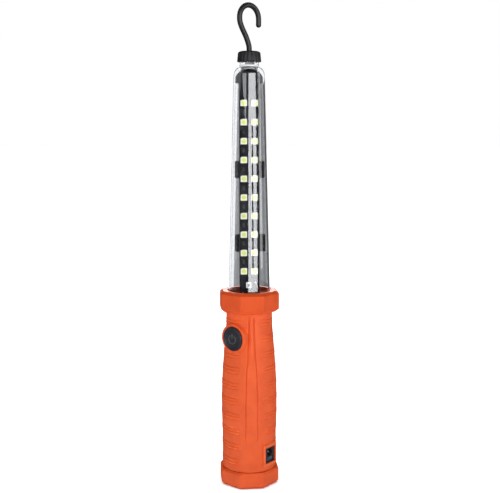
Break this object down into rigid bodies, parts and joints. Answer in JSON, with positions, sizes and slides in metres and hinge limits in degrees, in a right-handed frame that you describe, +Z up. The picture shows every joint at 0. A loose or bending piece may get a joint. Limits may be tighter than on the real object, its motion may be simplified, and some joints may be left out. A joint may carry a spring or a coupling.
{
  "type": "work light",
  "caption": "Cordless stick work light: clear tapered tube over a strip of LEDs, octagonal collar and foot, round grip with a push button and charging port, and a swivelling wire hook.",
  "frame": {"origin": "centre of the foot's flat underside", "axes": "+Z up along the light's long axis, the LED strip faces -Y, the button is on the -X side of the front and the charging port on the +X side"},
  "size_m": [0.047, 0.047, 0.3882],
  "materials": {
    "orange_plastic": "moulded, fine satin texture",
    "black_plastic": "satin",
    "button_rubber": "satin",
    "hook_coating": "semi-gloss black coating on steel wire",
    "clear_lens": "clear polished polycarbonate",
    "board_black": "black solder mask",
    "led_phosphor": "cream housing with a yellow phosphor face",
    "white_plastic": "satin",
    "bright_steel": "zinc-plated",
    "nickel_strip": "bright rolled strip",
    "rubber": "matt",
    "cell_wrap": "shrink wrap",
    "board_green": "green solder mask",
    "smoked_plastic": "smoked light pipe",
    "wire_red": "PVC insulation",
    "wire_black": "PVC insulation"
  },
  "bodies": {
    "body": {"foot_cap": "orange_plastic", "foot_screw_front": "bright_steel", "foot_screw_rear": "bright_steel", "grip_front": "orange_plastic", "grip_rear": "orange_plastic", "grip_screw_lower_left": "bright_steel", "grip_screw_lower_right": "bright_steel", "grip_screw_upper_left": "bright_steel", "grip_screw_upper_right": "bright_steel", "collar": "orange_plastic", "tube_seal": "rubber", "lens_tube": "clear_lens", "led_chassis": "black_plastic", "led_board": "board_black", "led_left_01": "led_phosphor", "led_right_01": "led_phosphor", "led_left_02": "led_phosphor", "led_right_02": "led_phosphor", "led_left_03": "led_phosphor", "led_right_03": "led_phosphor", "led_left_04": "led_phosphor", "led_right_04": "led_phosphor", "led_left_05": "led_phosphor", "led_right_05": "led_phosphor", "led_left_06": "led_phosphor", "led_right_06": "led_phosphor", "led_left_07": "led_phosphor", "led_right_07": "led_phosphor", "led_left_08": "led_phosphor", "led_right_08": "led_phosphor", "led_left_09": "led_phosphor", "led_right_09": "led_phosphor", "led_left_10": "led_phosphor", "led_right_10": "led_phosphor", "board_connector": "white_plastic", "hook_cap": "black_plastic", "cap_gasket": "rubber", "switch_body": "black_plastic", "control_board": "board_green", "port_panel": "black_plastic", "dc_jack": "black_plastic", "jack_pin": "bright_steel", "charge_indicator": "smoked_plastic", "charge_board": "board_green", "battery_cell_left": "cell_wrap", "battery_cell_right": "cell_wrap", "battery_holder": "black_plastic", "cell_link": "nickel_strip", "cell_tab_left": "nickel_strip", "cell_tab_right": "nickel_strip", "wire_jack_positive": "wire_red", "wire_jack_negative": "wire_black", "wire_cell_positive": "wire_red", "wire_cell_negative": "wire_black", "wire_led_positive": "wire_red", "wire_led_negative": "wire_black"},
    "hook": {"hook": "hook_coating", "hook_clip": "bright_steel"},
    "button": {"button": "button_rubber", "switch_plunger": "white_plastic"}
  },
  "joints": [
    {"name": "hook_swivel", "type": "hinge", "parent": "body", "child": "hook", "pos_m": [0, 0, 0.35], "axis": [0, 0, 1], "continuous": true},
    {"name": "button_press", "type": "slide", "parent": "body", "child": "button", "axis": [0.7071, 0.7071, 0], "range_m": [0, 0.0016], "stiffness_N_per_m": 1500}
  ]
}
